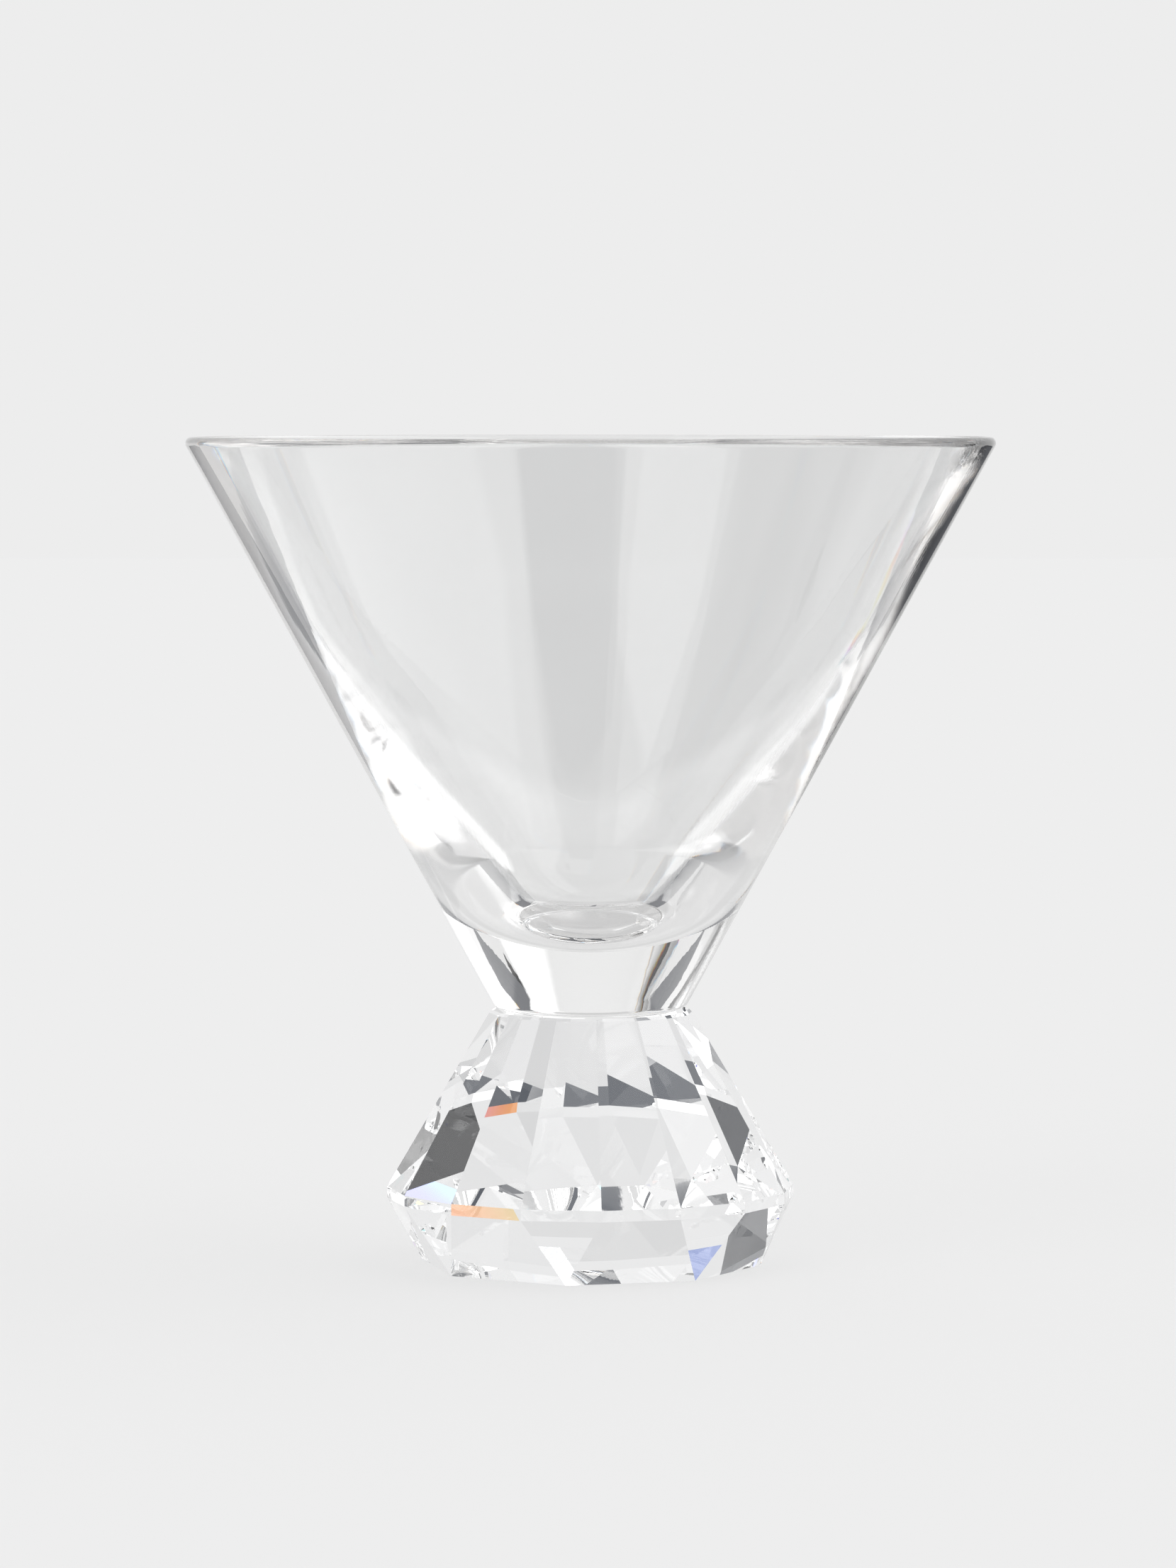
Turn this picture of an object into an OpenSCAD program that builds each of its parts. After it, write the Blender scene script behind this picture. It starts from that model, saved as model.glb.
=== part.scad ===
// Martini glass: a conical bowl with a thick solid base, bonded to a faceted
// crystal foot. +Z is up and the origin is the centre of the foot's underside.
// An outline is drawn as [radius, height] and turned around the Z axis.

/* [Glass] */
// Height of the whole glass, from the surface it stands on to the rim
glass_h = 118; // [110:1:125]
// Diameter over the rim
rim_d = 115; // [108:1:118]

/* [Bowl wall] */
// Thickness of the rounded rim
rim_t = 1.8; // [1.4:0.1:2.4]
// Slope of the outside, measured from the axis
outer_angle = 28.7; // [28.2:0.1:29.2]
// Slope of the inside near the rim, a little more open so that the wall thickens downwards
upper_angle = 30.2; // [29.8:0.1:30.6]
// Radius of the bowl's lower outside corner
corner_r = 1.5; // [0.8:0.1:2]

/* [Bowl inside] */
// Height of the shoulder, below which the inside curves in towards the axis
shoulder_z = 94; // [90:1:97]
// Radius of the long curve of the inside wall below the shoulder
curve_r = 240; // [225:5:260]
// Radius of the round bottom of the inside
well_r = 18.5; // [16:0.5:21]

/* [Foot] */
// Number of facets around the foot
facet_count = 16; // [12, 16, 20, 24]
// Angle that one girdle corner is turned from the front
foot_turn = 3; // [0:0.5:11]
// Height of the foot
foot_h = 36.3; // [34:0.1:38]
// Corner-to-corner width of the underside
base_d = 49; // [46:1:52]
// Height of the lower tier of facets
lower_h = 9.5; // [8:0.5:11]
// Corner-to-corner width of the girdle, the widest band
girdle_d = 58.2; // [56:0.2:60]
// Height of the girdle band
girdle_h = 1.6; // [1:0.1:2.5]
// Corner-to-corner width of the crown just under the table's bevel
table_d = 29; // [29:0.2:29.4]
// Height and width of the bevel around the table
bevel = 0.4; // [0.2:0.1:0.6]

/* [Bond] */
// Thickness of the clear adhesive between the foot and the bowl
bond_t = 0.25; // [0.2:0.05:0.5]
// Diameter of the adhesive disc
bond_d = 24.8; // [22:0.2:25]

/* [Hidden] */
$fn = 96;

// The direction that leaves the axis upwards at an angle, and its outward normal
function along(a) = [sin(a), cos(a)];
function outward(a) = [cos(a), -sin(a)];
// The radius at height z of the line through p at angle a from the axis
function radius_at(p, a, z) = p.x + (z - p.y) * tan(a);
// Points along an arc around c
function arc(c, r, from, to, steps) =
    [for (i = [0 : steps]) c + r * [cos(from + (to - from) * i / steps),
                                    sin(from + (to - from) * i / steps)]];

bowl_z = foot_h + bond_t;
rim_c = [(rim_d - rim_t) / 2, glass_h - rim_t / 2];
outer_top = rim_c + rim_t / 2 * outward(outer_angle);
inner_top = rim_c - rim_t / 2 * outward(upper_angle);
outer_foot = [radius_at(outer_top, outer_angle, bowl_z), bowl_z];
shoulder = [radius_at(inner_top, upper_angle, shoulder_z), shoulder_z];
// The long curve touches the inside slope at the shoulder, with its centre beyond the axis
curve_c = shoulder - curve_r * outward(upper_angle);
// The well is a ball on the axis that touches the long curve from within
well_c = [0, curve_c.y - sqrt(pow(curve_r - well_r, 2) - pow(curve_c.x, 2))];
well_angle = acos(-curve_c.x / (curve_r - well_r));
well_touch = well_c + well_r * outward(well_angle);
// The lower outside corner is a circle that touches the underside and the outer slope
corner_run = corner_r * tan((90 - outer_angle) / 2);
corner_c = [outer_foot.x - corner_run, bowl_z + corner_r];

step = 360 / facet_count;
// A facet's distance from the axis is less than its corners' by this ratio
flat_ratio = cos(step / 2);
girdle_z = lower_h + girdle_h;
crown_z = foot_h - bevel;
cutter = 4 * girdle_d;

// The inside of the bowl, down to where the well takes over
module cavity_outline() {
    polygon(concat(
        [[0, glass_h + 1], [radius_at(inner_top, upper_angle, glass_h + 1), glass_h + 1]],
        arc(curve_c, curve_r, -upper_angle, -well_angle, 10),
        [[0, well_touch.y]]));
    intersection() {
        translate(well_c) circle(r = well_r);
        translate([0, well_c.y - 2 * well_r]) square([2 * well_r, 4 * well_r]);
    }
}

// The solid outside of the bowl, with its lower corner rounded
module body_outline() {
    polygon([[0, bowl_z], [corner_c.x, bowl_z], outer_foot + corner_run * along(outer_angle),
             outer_top, rim_c, [0, rim_c.y]]);
    translate(corner_c) circle(r = corner_r);
}

module bowl() {
    color([0.93, 0.95, 0.96, 0.35])
    rotate_extrude() {
        difference() {
            body_outline();
            cavity_outline();
        }
        translate(rim_c) circle(d = rim_t);
    }
}

// A slab whose inner face passes through two [distance from the axis, height] points
module facet_cut(azimuth, low, high) {
    rotate([0, 0, azimuth])
    translate([low.x, 0, low.y])
    rotate([0, atan2(high.x - low.x, high.y - low.y), 0])
    translate([0, -cutter / 2, -cutter / 2])
    cube(cutter);
}

// The straight-sided blank that the facets are cut into
module foot_blank() {
    linear_extrude(foot_h)
    polygon([for (i = [0 : facet_count - 1]) girdle_d / 2 * [cos(i * step), sin(i * step)]]);
}

// The blank with the facets of its first n sides cut, one side after another
module cut_foot(n) {
    girdle_x = girdle_d / 2 * flat_ratio;
    crown_x = table_d / 2 * flat_ratio;
    // Around the underside, three-cornered facets take turns with four-sided ones
    base_x = base_d / 2 * (n % 2 == 0 ? 1 : cos(step));
    azimuth = (n - 0.5) * step;
    if (n == 0) {
        foot_blank();
    } else {
        difference() {
            cut_foot(n - 1);
            facet_cut(azimuth, [base_x, 0], [girdle_x, lower_h]);
            facet_cut(azimuth, [girdle_x, girdle_z], [crown_x, crown_z]);
            facet_cut(azimuth, [crown_x, crown_z], [crown_x - bevel, foot_h]);
        }
    }
}

module foot() {
    color([0.9, 0.93, 0.96, 0.4])
    rotate([0, 0, foot_turn - 90])
    cut_foot(facet_count);
}

module bond() {
    color([0.86, 0.89, 0.9, 0.5])
    translate([0, 0, foot_h])
    cylinder(h = bond_t, d = bond_d);
}

foot();
bond();
bowl();
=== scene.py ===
"""A clear stemless martini glass, bonded on a faceted crystal foot, in a pale studio."""
import math

import bmesh
import bpy
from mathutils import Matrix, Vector


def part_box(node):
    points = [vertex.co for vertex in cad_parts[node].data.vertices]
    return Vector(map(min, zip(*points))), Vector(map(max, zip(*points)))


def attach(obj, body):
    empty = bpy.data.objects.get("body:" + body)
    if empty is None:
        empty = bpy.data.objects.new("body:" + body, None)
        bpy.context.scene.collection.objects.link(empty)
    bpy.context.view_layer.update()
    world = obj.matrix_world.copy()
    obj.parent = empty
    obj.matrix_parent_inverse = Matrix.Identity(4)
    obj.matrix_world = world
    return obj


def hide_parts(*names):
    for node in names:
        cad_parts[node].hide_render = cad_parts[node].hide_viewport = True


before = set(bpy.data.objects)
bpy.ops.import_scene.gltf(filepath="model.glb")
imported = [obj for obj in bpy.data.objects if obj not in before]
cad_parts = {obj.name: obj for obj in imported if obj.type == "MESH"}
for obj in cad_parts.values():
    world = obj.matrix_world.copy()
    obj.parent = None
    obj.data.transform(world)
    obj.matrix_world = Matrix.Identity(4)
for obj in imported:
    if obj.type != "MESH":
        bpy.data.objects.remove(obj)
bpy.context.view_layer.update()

MM = 0.001

# The lowest and highest corners of the CAD pieces
foot_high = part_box("foot")[1]
bond_low, bond_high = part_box("bond")
bowl_low, bowl_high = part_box("bowl")

# Bowl, in metres, as the CAD has it
RIM_RADIUS = bowl_high.x
RIM_THICK = 1.8 * MM
OUTER_ANGLE = math.radians(28.7)
UPPER_ANGLE = math.radians(30.2)
CORNER_RADIUS = 1.5 * MM
SHOULDER_HEIGHT = 94 * MM
CURVE_RADIUS = 240 * MM
WELL_RADIUS = 18.5 * MM

# Foot, in metres, as the CAD has it
FACETS = 16
FOOT_TURN = math.radians(3)
BASE_RADIUS = 24.5 * MM
LOWER_HEIGHT = 9.5 * MM
GIRDLE_RADIUS = 29.1 * MM
GIRDLE_HEIGHT = 1.6 * MM
TABLE_RADIUS = 14.5 * MM
BEVEL = 0.4 * MM

# Corners of a turned piece around its axis, and how near the axis a point counts as on it
TURNS = 256
ON_AXIS = 0.0001 * MM

BOWL_IOR = 1.52
CRYSTAL_IOR = 1.56
BOND_IOR = 1.5

# Depth of the unevenness of each surface, in metres
BOWL_WAVES = 0.02 * MM
RIPPLES = 0.006 * MM
FOOT_WAVES = 0.0015 * MM
BOND_WAVES = 0.02 * MM

# The ripples fade in down the bowl's thick base, between these heights
RIPPLES_START = 62 * MM
RIPPLES_FULL = 50 * MM

# What the camera sees behind the glass, and the same shade for the floor: partly lit and
# partly glowing, so that the shadow on it stays faint
BACKDROP = 0.847
FLOOR_SIZE = 8
FLOOR_DROP = 0.05 * MM
FLOOR_GREY = 0.17
FLOOR_GLOW = 0.681

# The flags behind the glass, in metres
FLAG_INNER_Y = 96 * MM
FLAG_OUTER_X = 105 * MM
FLAG_OUTER_Y = 80 * MM
FLAG_TOP = 106 * MM
FLAG_GLOW = 0.2

CAMERA_SIDE = -0.37 * MM
CAMERA_HEIGHT = 0.1229
CAMERA_DISTANCE = 0.879
CAMERA_TILT = math.radians(3.538)
LENS = 141.8
SENSOR = 36

# Light is trapped in the bowl's wall and in the foot, so it needs many bounces
BOUNCES = 48
CLEAR_BOUNCES = 16


# ---------------------------------------------------------------- outlines

def outward(angle):
    """The outward normal of a surface that rises at an angle from the axis."""
    return Vector((math.cos(angle), -math.sin(angle)))


def line_radius(point, angle, height):
    """How far from the axis a straight line through a point is at a height."""
    return point.x + (height - point.y) * math.tan(angle)


def arc(centre, radius, start, stop, steps):
    """Points along an arc; the angles are from the radius axis towards the height axis."""
    angles = [start + (stop - start) * i / steps for i in range(steps + 1)]
    return [centre + radius * Vector((math.cos(a), math.sin(a))) for a in angles]


def bowl_outline():
    """The bowl's section, from the middle of its underside round to the middle of its well."""
    rim = Vector((RIM_RADIUS - RIM_THICK / 2, bowl_high.z - RIM_THICK / 2))
    outer_top = rim + RIM_THICK / 2 * outward(OUTER_ANGLE)
    inner_top = rim - RIM_THICK / 2 * outward(UPPER_ANGLE)

    base = Vector((line_radius(outer_top, OUTER_ANGLE, bowl_low.z), bowl_low.z))
    corner_run = CORNER_RADIUS * math.tan((math.pi / 2 - OUTER_ANGLE) / 2)
    corner = Vector((base.x - corner_run, bowl_low.z + CORNER_RADIUS))

    shoulder = Vector((line_radius(inner_top, UPPER_ANGLE, SHOULDER_HEIGHT), SHOULDER_HEIGHT))
    curve = shoulder - CURVE_RADIUS * outward(UPPER_ANGLE)
    reach = CURVE_RADIUS - WELL_RADIUS
    well_angle = math.acos(-curve.x / reach)
    well = Vector((0, curve.y - reach * math.sin(well_angle)))

    points = [Vector((0, bowl_low.z))]
    points += arc(corner, CORNER_RADIUS, -math.pi / 2, -OUTER_ANGLE, steps=10)
    points += arc(rim, RIM_THICK / 2, -OUTER_ANGLE, math.pi - UPPER_ANGLE, steps=20)
    points += arc(curve, CURVE_RADIUS, -UPPER_ANGLE, -well_angle, steps=32)
    points += arc(well, WELL_RADIUS, -well_angle, -math.pi / 2, steps=24)[1:]
    return points


# ------------------------------------------------------------------ meshes

def revolve(name, points, turns=TURNS):
    """A closed solid from an outline that starts and ends on the axis."""
    bm = bmesh.new()
    rings = []
    for point in points:
        if point.x < ON_AXIS:
            rings.append([bm.verts.new((0, 0, point.y))])
            continue
        angles = [2 * math.pi * i / turns for i in range(turns)]
        rings.append([bm.verts.new((point.x * math.cos(a), point.x * math.sin(a), point.y))
                      for a in angles])
    for low, high in zip(rings, rings[1:]):
        for i in range(turns):
            j = (i + 1) % turns
            if len(low) == 1:
                bm.faces.new((low[0], high[j], high[i]))
            elif len(high) == 1:
                bm.faces.new((low[i], low[j], high[0]))
            else:
                bm.faces.new((low[i], low[j], high[j], high[i]))
    bmesh.ops.recalc_face_normals(bm, faces=bm.faces)
    for face in bm.faces:
        face.smooth = True
    return finished(name, bm)


def finished(name, bm):
    mesh = bpy.data.meshes.new(name)
    bm.to_mesh(mesh)
    bm.free()
    piece = bpy.data.objects.new(name, mesh)
    bpy.context.scene.collection.objects.link(piece)
    return piece


def ring(bm, radius, height, count=FACETS, first=0.0):
    """Points around the foot; number 0 is the girdle corner nearest the front."""
    points = []
    for i in range(count):
        a = FOOT_TURN - math.pi / 2 + 2 * math.pi * (i + first) / count
        points.append(bm.verts.new((radius * math.cos(a), radius * math.sin(a), height)))
    return points


def foot_solid(name):
    """The crystal foot: an octagonal underside, lower facets, a girdle, a crown and a table."""
    bm = bmesh.new()
    flat = math.cos(math.pi / FACETS)
    base = ring(bm, BASE_RADIUS, 0, FACETS // 2, 0.75)
    low = ring(bm, GIRDLE_RADIUS, LOWER_HEIGHT)
    high = ring(bm, GIRDLE_RADIUS, LOWER_HEIGHT + GIRDLE_HEIGHT)
    crown = ring(bm, TABLE_RADIUS, foot_high.z - BEVEL)
    table = ring(bm, TABLE_RADIUS - BEVEL / flat, foot_high.z)
    bm.faces.new(list(reversed(base)))
    for i in range(FACETS):
        j = (i + 1) % FACETS
        k = i // 2
        if i % 2:
            bm.faces.new((base[k], low[j], low[i]))
        else:
            bm.faces.new((base[k - 1], base[k], low[j], low[i]))
        bm.faces.new((low[i], low[j], high[j], high[i]))
        bm.faces.new((high[i], high[j], crown[j], crown[i]))
        bm.faces.new((crown[i], crown[j], table[j], table[i]))
    bm.faces.new(table)
    bmesh.ops.recalc_face_normals(bm, faces=bm.faces)
    return finished(name, bm)


# --------------------------------------------------------------- materials

class Surface:
    """A material's nodes, with helpers for patterns in the piece's own coordinates."""

    def __init__(self, name):
        self.mat = bpy.data.materials.new(name)
        self.mat.use_nodes = True
        self.nodes = self.mat.node_tree.nodes
        self.links = self.mat.node_tree.links
        self.shader = self.nodes["Principled BSDF"]
        self.place = self.nodes.new("ShaderNodeTexCoord").outputs["Object"]

    def noise(self, scale, detail, stretch=(1, 1, 1)):
        spread = self.nodes.new("ShaderNodeMapping")
        spread.inputs["Scale"].default_value = stretch
        self.links.new(self.place, spread.inputs["Vector"])
        node = self.nodes.new("ShaderNodeTexNoise")
        node.inputs["Scale"].default_value = scale
        node.inputs["Detail"].default_value = detail
        self.links.new(spread.outputs[0], node.inputs["Vector"])
        return node.outputs["Fac"]

    def ramp(self, value, low, high, start, stop):
        node = self.nodes.new("ShaderNodeMapRange")
        node.inputs["From Min"].default_value = low
        node.inputs["From Max"].default_value = high
        node.inputs["To Min"].default_value = start
        node.inputs["To Max"].default_value = stop
        self.links.new(value, node.inputs["Value"])
        return node.outputs["Result"]

    def height(self):
        split = self.nodes.new("ShaderNodeSeparateXYZ")
        self.links.new(self.place, split.inputs[0])
        return split.outputs["Z"]

    def combine(self, first, second, weight):
        """first plus second times weight."""
        node = self.nodes.new("ShaderNodeMath")
        node.operation = "MULTIPLY_ADD"
        self.links.new(second, node.inputs[0])
        self.links.new(weight, node.inputs[1])
        self.links.new(first, node.inputs[2])
        return node.outputs[0]

    def tint(self, value, first, second):
        node = self.nodes.new("ShaderNodeMix")
        node.data_type = "RGBA"
        self.links.new(value, node.inputs["Factor"])
        node.inputs["A"].default_value = (*first, 1)
        node.inputs["B"].default_value = (*second, 1)
        self.links.new(node.outputs["Result"], self.shader.inputs["Base Color"])

    def bump(self, height, depth):
        node = self.nodes.new("ShaderNodeBump")
        node.inputs["Strength"].default_value = 1
        node.inputs["Distance"].default_value = depth
        self.links.new(height, node.inputs["Height"])
        self.links.new(node.outputs[0], self.shader.inputs["Normal"])

    def glass(self, ior):
        self.shader.inputs["Transmission Weight"].default_value = 1.0
        self.shader.inputs["IOR"].default_value = ior

    def absorb(self, colour, density):
        body = self.nodes.new("ShaderNodeVolumeAbsorption")
        body.inputs["Color"].default_value = (*colour, 1)
        body.inputs["Density"].default_value = density
        self.links.new(body.outputs[0], self.nodes["Material Output"].inputs["Volume"])


def bowl_glass():
    """Blown soda-lime glass: faintly wavy, with a few dry water marks."""
    surface = Surface("bowl_glass")
    surface.glass(BOWL_IOR)
    surface.absorb((0.5, 0.48, 0.46), 3.0)
    waves = surface.noise(34, 2, (1, 1, 0.45))
    ripples = surface.noise(60, 1.5, (0.35, 0.35, 6))
    low = surface.ramp(surface.height(), RIPPLES_START, RIPPLES_FULL, 0, RIPPLES / BOWL_WAVES)
    surface.bump(surface.combine(waves, ripples, low), BOWL_WAVES)
    streaks = surface.noise(60, 3, (1, 1, 0.2))
    surface.tint(surface.ramp(streaks, 0.35, 0.65, 0, 1), (0.95, 0.952, 0.952), (0.962, 0.964, 0.964))
    marks = surface.noise(260, 4)
    surface.links.new(surface.ramp(marks, 0.74, 0.78, 0, 0.08), surface.shader.inputs["Roughness"])
    return surface.mat


def foot_crystal():
    """Cut crystal with polished facets, each a touch uneven from the wheel."""
    surface = Surface("foot_crystal")
    surface.glass(CRYSTAL_IOR)
    wheel = surface.noise(50, 1)
    surface.bump(wheel, FOOT_WAVES)
    haze = surface.noise(90, 2)
    surface.tint(surface.ramp(haze, 0.35, 0.65, 0, 1), (0.955, 0.957, 0.962), (0.965, 0.966, 0.968))
    marks = surface.noise(400, 4)
    surface.links.new(surface.ramp(marks, 0.76, 0.8, 0, 0.06), surface.shader.inputs["Roughness"])
    return surface.mat


def clear_bond():
    """Cured adhesive, a little uneven where it was squeezed out."""
    surface = Surface("clear_adhesive")
    surface.glass(BOND_IOR)
    beads = surface.noise(700, 2)
    surface.bump(beads, BOND_WAVES)
    surface.tint(beads, (0.93, 0.93, 0.92), (0.97, 0.97, 0.965))
    surface.links.new(surface.ramp(beads, 0.4, 0.7, 0.02, 0.1), surface.shader.inputs["Roughness"])
    return surface.mat


def optical_joint():
    """Bonded faces, which light crosses as if they weren't there."""
    mat = bpy.data.materials.new("optical_joint")
    mat.use_nodes = True
    nodes = mat.node_tree.nodes
    links = mat.node_tree.links
    nodes.remove(nodes["Principled BSDF"])
    clear = nodes.new("ShaderNodeBsdfTransparent")
    links.new(clear.outputs[0], nodes["Material Output"].inputs["Surface"])
    return mat


def bond_outline():
    """The disc of adhesive, from the middle of its underside to the middle of its top."""
    edge = bond_high.x
    return [Vector((0, bond_low.z)), Vector((edge, bond_low.z)),
            Vector((edge, bond_high.z)), Vector((0, bond_high.z))]


def place(piece, node, mat, joint):
    """Give a piece its materials, the joint on its bonded faces, and its place in the frame."""
    piece.data.materials.append(mat)
    piece.data.materials.append(joint)
    margin = 0.01 * MM
    for face in piece.data.polygons:
        level = abs(face.normal.z) > 0.999
        if level and bond_low.z - margin < face.center.z < bond_high.z + margin:
            face.material_index = 1
    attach(piece, "root")
    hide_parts(node)


bowl = revolve("bowl_glass", bowl_outline())
foot = foot_solid("foot_crystal")
bond = revolve("bond_disc", bond_outline())

joint = optical_joint()
place(bowl, "bowl", bowl_glass(), joint)
place(foot, "foot", foot_crystal(), joint)
place(bond, "bond", clear_bond(), joint)


# ------------------------------------------------------------ floor, light

def direction(azimuth, elevation):
    """A unit vector; azimuth 0 is straight ahead of the camera and turns to the right."""
    a, e = math.radians(azimuth), math.radians(elevation)
    return Vector((math.sin(a) * math.cos(e), math.cos(a) * math.cos(e), math.sin(e)))


class Studio:
    """The room round the glass, as seen by light that the glass bends or reflects."""

    def __init__(self, base):
        world = bpy.data.worlds.new("studio")
        bpy.context.scene.world = world
        world.use_nodes = True
        self.nodes = world.node_tree.nodes
        self.links = world.node_tree.links
        self.nodes.clear()
        self.ray = self.nodes.new("ShaderNodeTexCoord").outputs["Generated"]
        self.colour = self.rgb(base)

    def rgb(self, value):
        node = self.nodes.new("ShaderNodeRGB")
        node.outputs[0].default_value = (*value, 1)
        return node.outputs[0]

    def dot(self, vector):
        node = self.nodes.new("ShaderNodeVectorMath")
        node.operation = "DOT_PRODUCT"
        self.links.new(self.ray, node.inputs[0])
        node.inputs[1].default_value = vector
        return node.outputs["Value"]

    def math(self, operation, *values):
        node = self.nodes.new("ShaderNodeMath")
        node.operation = operation
        for socket, value in zip(node.inputs, values):
            if isinstance(value, (int, float)):
                socket.default_value = value
            else:
                self.links.new(value, socket)
        return node.outputs[0]

    def inside(self, value, half, soft):
        """1 where value is within half of 0, falling to 0 over soft."""
        node = self.nodes.new("ShaderNodeMapRange")
        node.interpolation_type = "SMOOTHSTEP"
        self.links.new(self.math("ABSOLUTE", value), node.inputs["Value"])
        node.inputs["From Min"].default_value = half - soft / 2
        node.inputs["From Max"].default_value = half + soft / 2
        node.inputs["To Min"].default_value = 1
        node.inputs["To Max"].default_value = 0
        return node.outputs["Result"]

    def card(self, towards, size, soft, colour, fringe=0.0):
        """A flat card or softbox, facing the glass from a direction.

        size is its width and height as seen from the glass, in degrees. fringe spreads
        the edges into colours, as cut crystal does, by moving red one way and blue the other."""
        up = Vector((0, 0, 1)) if abs(towards.z) < 0.99 else Vector((0, 1, 0))
        side = towards.cross(up).normalized()
        up = side.cross(towards)
        depth = self.math("MAXIMUM", self.dot(towards), 1e-4)
        across = self.math("DIVIDE", self.dot(side), depth)
        rise = self.math("DIVIDE", self.dot(up), depth)
        half = [math.tan(math.radians(s / 2)) for s in size]
        front = self.math("GREATER_THAN", self.dot(towards), 0.01)
        masks = []
        for shift in ((fringe, 0, -fringe) if fringe else (0,)):
            wide = self.inside(self.math("ADD", across, shift), half[0], soft)
            high = self.inside(self.math("ADD", rise, shift), half[1], soft)
            masks.append(self.math("MULTIPLY", self.math("MULTIPLY", wide, high), front))
        if fringe:
            self.mix_channels(masks, colour)
        else:
            self.mix(masks[0], colour)

    def mix_channels(self, masks, colour):
        """Mix in a colour with a mask of its own for red, green and blue."""
        split = self.nodes.new("ShaderNodeCombineXYZ")
        for mask, socket in zip(masks, split.inputs):
            self.links.new(mask, socket)
        node = self.nodes.new("ShaderNodeMix")
        node.data_type = "VECTOR"
        node.factor_mode = "NON_UNIFORM"
        self.links.new(split.outputs[0], node.inputs[1])
        self.links.new(self.colour, node.inputs[4])
        node.inputs[5].default_value = colour
        self.colour = node.outputs[1]

    def mix(self, mask, colour):
        node = self.nodes.new("ShaderNodeMix")
        node.data_type = "RGBA"
        self.links.new(mask, node.inputs["Factor"])
        self.links.new(self.colour, node.inputs["A"])
        node.inputs["B"].default_value = (*colour, 1)
        self.colour = node.outputs["Result"]

    def finish(self, plain):
        """What the camera itself sees behind the glass is the plain backdrop, from any side."""
        seen = self.nodes.new("ShaderNodeLightPath").outputs["Is Camera Ray"]
        self.mix(seen, plain)
        back = self.nodes.new("ShaderNodeBackground")
        self.links.new(self.colour, back.inputs["Color"])
        out = self.nodes.new("ShaderNodeOutputWorld")
        self.links.new(back.outputs[0], out.inputs["Surface"])


def grey(level):
    return (level, level, level)


def world_light():
    studio = Studio(grey(0.86))
    # The floor, which only the bent light sees this way
    studio.card(direction(0, -11), (44, 12), 0.05, grey(0.76))
    studio.card(direction(0, -90), (80, 80), 0.2, grey(0.72))
    studio.card(direction(-90, -68), (36, 30), 0.3, grey(0.9))
    studio.card(direction(0, -32), (60, 26), 0.15, grey(0.82))
    studio.card(direction(-26, -32), (18, 18), 0.05, grey(1.35))
    studio.card(direction(24, -35), (16, 18), 0.05, grey(1.15))
    # The walls and the ceiling
    studio.card(direction(-5, 46), (110, 30), 0.2, grey(0.97))
    studio.card(direction(0, 90), (50, 50), 0.1, grey(0.7))
    studio.card(direction(100, 10), (90, 50), 0.3, grey(1.1))
    studio.card(direction(-78, 44), (40, 26), 0.1, grey(0.35))
    studio.card(direction(-80, 6), (46, 24), 0.1, grey(0.7))
    # Softboxes
    studio.card(direction(42, 48), (34, 30), 0.1, grey(1.7))
    studio.card(direction(93, 44), (63, 46), 0.08, grey(1.9))
    studio.card(direction(-140, 43), (28, 38), 0.03, grey(1.9))
    studio.card(direction(150, 8), (60, 26), 0.02, grey(1.7), 0.012)
    # The dark side of the room, behind the camera
    studio.card(direction(171, 42), (28, 52), 0.03, (0.10, 0.11, 0.13))
    # Black flags
    studio.card(direction(44, -8), (9, 19), 0.004, (0.012, 0.013, 0.016))
    studio.card(direction(-35, 2), (6, 18), 0.004, (0.02, 0.025, 0.04), 0.004)
    studio.card(direction(-44, -10), (12, 16), 0.004, (0.05, 0.055, 0.065), 0.004)
    studio.card(direction(42, 9), (3, 5), 0.004, (0.05, 0.05, 0.05))
    studio.card(direction(56, 16), (3, 9), 0.004, (0.05, 0.05, 0.05), 0.004)
    studio.card(direction(-60.5, 50), (39, 11), 0.01, (0.12, 0.12, 0.12), 0.01)
    studio.card(direction(-70.5, 31), (9, 9), 0.01, (0.05, 0.05, 0.05))
    studio.card(direction(154.5, 6), (4, 8), 0.004, (0.03, 0.03, 0.03))
    # Colours thrown by the cut facets
    studio.card(direction(30, -26), (2.2, 2.2), 0.02, (0.85, 0.36, 0.1), 0.01)
    studio.card(direction(30, 19), (2.2, 2.2), 0.02, (1.15, 0.6, 0.35), 0.01)
    studio.card(direction(-33, 28), (3, 3), 0.02, (0.36, 0.44, 0.78), 0.006)
    studio.finish(grey(BACKDROP))


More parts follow.
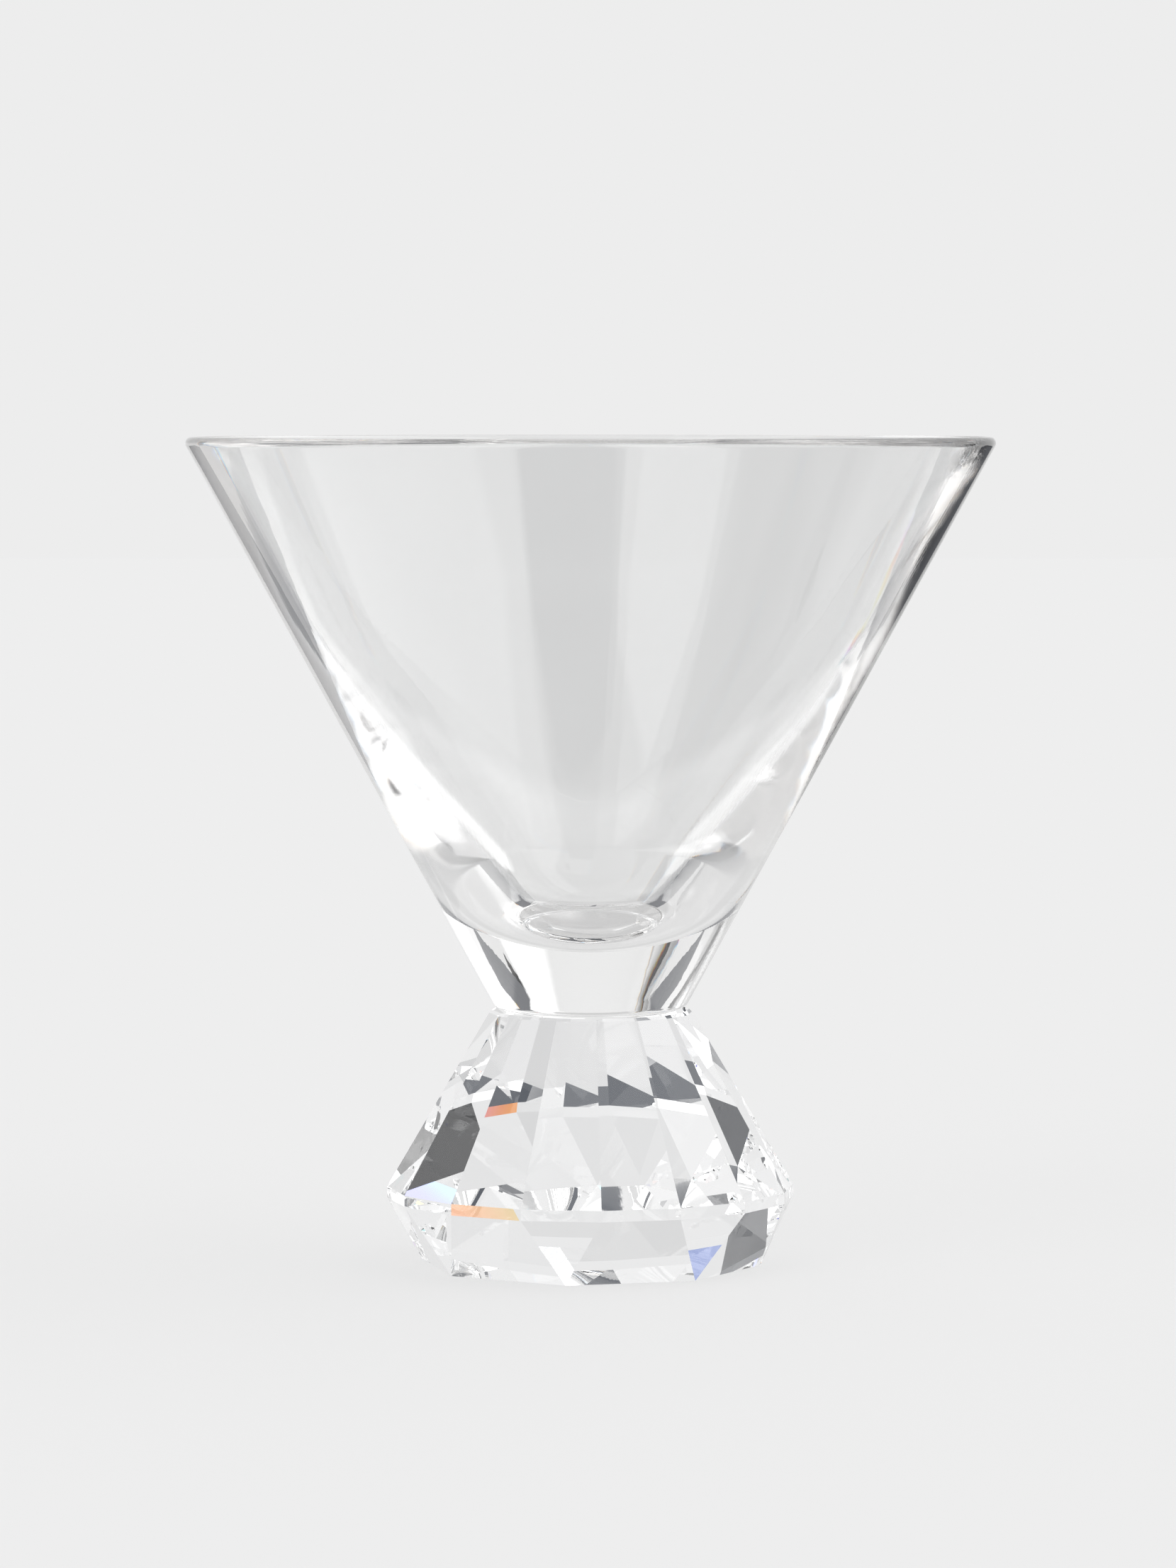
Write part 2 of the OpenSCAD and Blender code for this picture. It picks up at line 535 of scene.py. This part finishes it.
def floor():
    """The pale floor, which the camera sees. Bent light sees the room's own floor instead."""
    bpy.ops.mesh.primitive_plane_add(size=FLOOR_SIZE, location=(0, 0, -FLOOR_DROP))
    plane = bpy.context.object
    plane.name = "floor"
    mat = bpy.data.materials.new("floor")
    mat.use_nodes = True
    shader = mat.node_tree.nodes["Principled BSDF"]
    shader.inputs["Base Color"].default_value = (*grey(FLOOR_GREY), 1)
    shader.inputs["Roughness"].default_value = 1
    shader.inputs["Specular IOR Level"].default_value = 0
    shader.inputs["Emission Color"].default_value = (1, 1, 1, 1)
    shader.inputs["Emission Strength"].default_value = FLOOR_GLOW
    plane.data.materials.append(mat)
    plane.visible_transmission = False
    plane.visible_glossy = False


def flag(name, side, inner_x, low):
    """A dark card behind one side of the glass, kept out of the picture.

    side is -1 on the left and 1 on the right. inner_x gives where its inner edge starts
    and ends, as it leans with the wall of the bowl."""
    bm = bmesh.new()
    corners = ((FLAG_OUTER_X, FLAG_OUTER_Y, low), (inner_x[0], FLAG_INNER_Y, low),
               (inner_x[1], FLAG_INNER_Y, FLAG_TOP), (FLAG_OUTER_X, FLAG_OUTER_Y, FLAG_TOP))
    bm.faces.new([bm.verts.new((side * x, y, z)) for x, y, z in corners])
    card = finished(name, bm)
    mat = bpy.data.materials.new(name)
    mat.use_nodes = True
    shader = mat.node_tree.nodes["Principled BSDF"]
    shader.inputs["Base Color"].default_value = (0.01, 0.01, 0.012, 1)
    shader.inputs["Roughness"].default_value = 1
    shader.inputs["Specular IOR Level"].default_value = 0
    shader.inputs["Emission Color"].default_value = (0.95, 0.98, 1.05, 1)
    shader.inputs["Emission Strength"].default_value = FLAG_GLOW
    card.data.materials.append(mat)
    card.visible_camera = False
    card.visible_shadow = False
    card.visible_diffuse = False


def photo_camera():
    """The camera of the photo: level with the rim, and aimed a little down."""
    lens = bpy.data.cameras.new("camera")
    lens.sensor_fit = "VERTICAL"
    lens.sensor_height = SENSOR
    lens.lens = LENS
    camera = bpy.data.objects.new("camera", lens)
    camera.location = (CAMERA_SIDE, -CAMERA_DISTANCE, CAMERA_HEIGHT)
    camera.rotation_euler = (math.pi / 2 - CAMERA_TILT, 0, 0)
    bpy.context.scene.collection.objects.link(camera)
    return camera


world_light()
floor()
flag("left_flag", -1, (66 * MM, 85 * MM), 43 * MM)
flag("right_flag", 1, (66 * MM, 83 * MM), 45 * MM)
bpy.context.scene.camera = photo_camera()

scene = bpy.context.scene
scene.view_settings.view_transform = "Standard"
scene.cycles.max_bounces = BOUNCES
scene.cycles.transmission_bounces = BOUNCES
scene.cycles.glossy_bounces = BOUNCES
scene.cycles.transparent_max_bounces = CLEAR_BOUNCES
